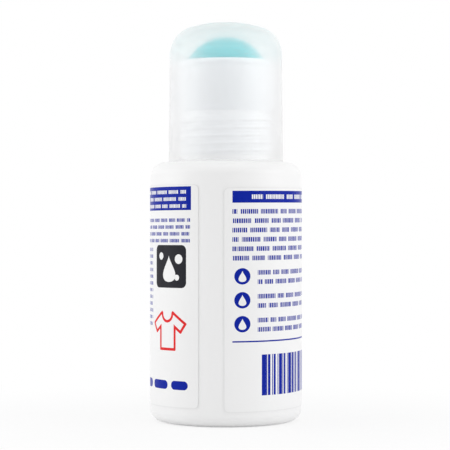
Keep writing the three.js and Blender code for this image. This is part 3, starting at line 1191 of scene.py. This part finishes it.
class STAINROLLER_OT_stage(BuildStep, Operator):
    """Floor, light and camera"""

    bl_idname = "stain_roller.stage"
    bl_label = "Set Stage"

    def build(self, settings):
        scene = bpy.context.scene
        studio = settings.studio
        scene.view_settings.view_transform = "Standard"
        self.lay_floor()
        self.light_room(scene, studio)
        for side in (-1, 1):
            bearing = studio.camera_azimuth - studio.light_turn + side * studio.side_angle
            away = Vector((math.sin(bearing), -math.cos(bearing), 0.0))
            self.hang_lamp("side_lamp", away * SIDE_LAMP_AWAY + SIDE_LAMP_UP, studio.side_power)
        self.hang_lamp("top_lamp", TOP_LAMP_PLACE, studio.top_power)
        self.place_camera(scene, studio)

    def seen_white(self, board):
        """1 for rays that should see a white room: from the camera, off gloss, through clear pieces."""
        path = board.node("ShaderNodeLightPath")
        names = ("Is Camera Ray", "Is Glossy Ray", "Is Transmission Ray")
        return any_of([Wire(board, path.outputs[name]) for name in names])

    def lay_floor(self):
        """A pale floor that shows the shadow near the bottle and runs out into plain white."""
        mesh = bpy.data.meshes.new("floor")
        shape = bmesh.new()
        bmesh.ops.create_circle(shape, cap_ends=True, segments=FLOOR_SIDES, radius=FLOOR_RADIUS)
        shape.to_mesh(mesh)
        shape.free()
        material = bpy.data.materials.new("floor_white")
        material.use_nodes = True
        board = Board(material.node_tree)
        board.tree.nodes.clear()
        place = board.node("ShaderNodeTexCoord").outputs["Object"]
        x, y, _ = board.split(place)
        away = (x * x + y * y).math("SQRT")
        white = away.eased(*FLOOR_FADE) * (1 - FLOOR_NEAR_WHITE) + FLOOR_NEAR_WHITE
        paint = board.node("ShaderNodeBsdfDiffuse", {}, {"Color": FLOOR_PAINT})
        glow = board.node("ShaderNodeEmission", {}, {"Color": WHITE, "Strength": 1.0})
        surface = board.mix(self.seen_white(board) * white, paint, glow)
        board.node("ShaderNodeOutputMaterial", {}, {"Surface": surface.outputs[0]})
        floor = new_object("floor", mesh, material)

    def light_room(self, scene, studio):
        """Even light from all round, and a plain white room to look at."""
        room = bpy.data.worlds.new("white_room")
        room.use_nodes = True
        scene.world = room
        board = Board(room.node_tree)
        board.tree.nodes.clear()
        strength = studio.ambient + (1.0 - studio.ambient) * self.seen_white(board)
        light = board.node("ShaderNodeBackground", {}, {"Color": WHITE, "Strength": strength})
        board.node("ShaderNodeOutputWorld", {}, {"Surface": light.outputs[0]})

    def hang_lamp(self, name, place, power):
        """A soft box that faces the middle of the bottle."""
        lamp = bpy.data.lights.new(name, "AREA")
        lamp.shape = "RECTANGLE"
        lamp.size = LAMP_WIDTH
        lamp.size_y = LAMP_HEIGHT
        lamp.energy = power
        made = bpy.data.objects.new(name, lamp)
        bpy.context.scene.collection.objects.link(made)
        made.location = place
        self.face(made, LIT_POINT)

    def face(self, made, point):
        """Turns a lamp or camera to face a point."""
        made.rotation_euler = (point - made.location).to_track_quat("-Z", "Y").to_euler()

    def place_camera(self, scene, studio):
        """The photograph's view: level, a little to the right of the label's seam."""
        lens = bpy.data.cameras.new("camera")
        lens.lens = studio.focal_length
        lens.clip_start = NEAREST_SEEN
        camera = bpy.data.objects.new("camera", lens)
        scene.collection.objects.link(camera)
        bearing = studio.camera_azimuth
        away = Vector((math.sin(bearing), -math.cos(bearing), 0.0))
        left = Vector((-math.cos(bearing), -math.sin(bearing), 0.0))
        camera.location = away * studio.camera_distance + Vector((0.0, 0.0, studio.camera_height))
        aim = left * studio.aim_left + Vector((0.0, 0.0, studio.aim_height))
        self.face(camera, aim)
        scene.camera = camera


BUILD_STEPS = (
    STAINROLLER_OT_bottle,
    STAINROLLER_OT_liquid,
    STAINROLLER_OT_label,
    STAINROLLER_OT_housing,
    STAINROLLER_OT_ball,
    STAINROLLER_OT_cap,
    STAINROLLER_OT_stage,
)


class STAINROLLER_PT_sidebar(Panel):
    """Sizes, colours and building steps"""

    bl_idname = "STAINROLLER_PT_sidebar"
    bl_label = "Stain Roller"
    bl_space_type = "VIEW_3D"
    bl_region_type = "UI"
    bl_category = "Stain Roller"

    def draw(self, context):
        settings = context.scene.stain_roller
        for group in ("bottle", "thread", "roller", "cap", "label", "finish", "studio"):
            box = self.layout.box()
            box.label(text=group.capitalize())
            sizes = getattr(settings, group)
            for name in sizes.__annotations__:
                box.prop(sizes, name)
        for step in BUILD_STEPS:
            self.layout.operator(step.bl_idname)


CLASSES = (
    BottleSizes,
    ThreadSizes,
    RollerSizes,
    CapSizes,
    LabelSizes,
    Finishes,
    StudioSizes,
    StainRollerSettings,
    *BUILD_STEPS,
    STAINROLLER_PT_sidebar,
)


def register():
    for item in CLASSES:
        bpy.utils.register_class(item)
    bpy.types.Scene.stain_roller = PointerProperty(type=StainRollerSettings)


def unregister():
    del bpy.types.Scene.stain_roller
    for item in reversed(CLASSES):
        bpy.utils.unregister_class(item)


def main():
    register()
    bpy.ops.stain_roller.bottle()
    bpy.ops.stain_roller.liquid()
    bpy.ops.stain_roller.label()
    bpy.ops.stain_roller.housing()
    bpy.ops.stain_roller.ball()
    bpy.ops.stain_roller.cap()
    bpy.ops.stain_roller.stage()


if __name__ == "__main__":
    main()
